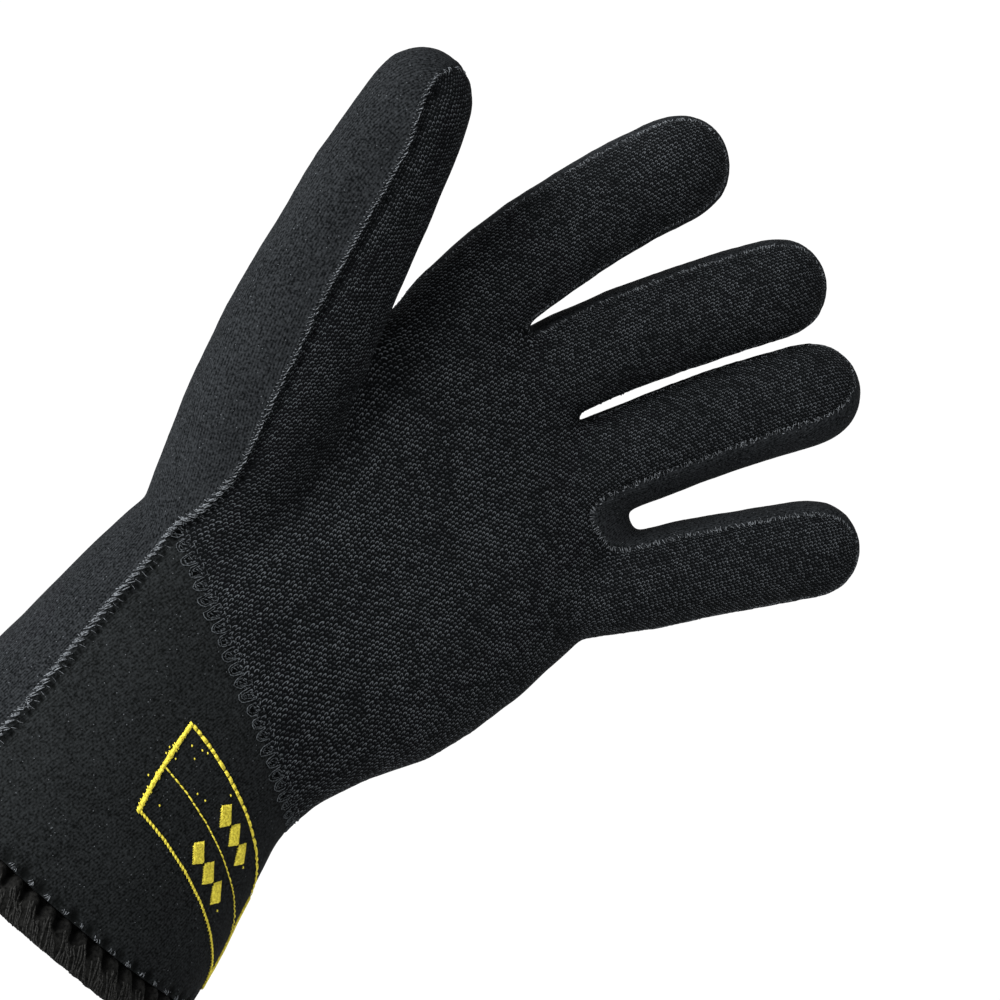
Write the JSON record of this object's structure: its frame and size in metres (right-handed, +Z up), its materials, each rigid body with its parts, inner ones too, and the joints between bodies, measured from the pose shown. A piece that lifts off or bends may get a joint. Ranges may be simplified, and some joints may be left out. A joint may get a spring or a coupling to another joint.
{
  "type": "diving glove",
  "caption": "Left-hand neoprene diving glove in its worn shape: textured palm, smooth back, stitched seams and an open overlocked cuff.",
  "frame": {"origin": "centre of the cuff's opening, in the plane of its edge", "axes": "+Z up the cuff towards the fingers, -Y out of the palm, -X towards the thumb"},
  "size_m": [0.2093, 0.0772, 0.2945],
  "materials": {
    "back_knit": "fine smooth black knit laminated on neoprene",
    "palm_knit": "coarse ribbed black knit laminated on neoprene",
    "cuff_knit": "fine smooth black knit laminated on neoprene",
    "hem_thread": "black overlock thread over a cut edge",
    "seam_thread": "black textured polyester sewing thread",
    "embroidery_thread": "yellow satin-stitched embroidery thread"
  },
  "bodies": {
    "root": {"back_panel": "back_knit", "palm_panel": "palm_knit", "cuff_panel": "cuff_knit", "cuff_hem": "hem_thread", "embroidery": "embroidery_thread"}
  },
  "joints": []
}
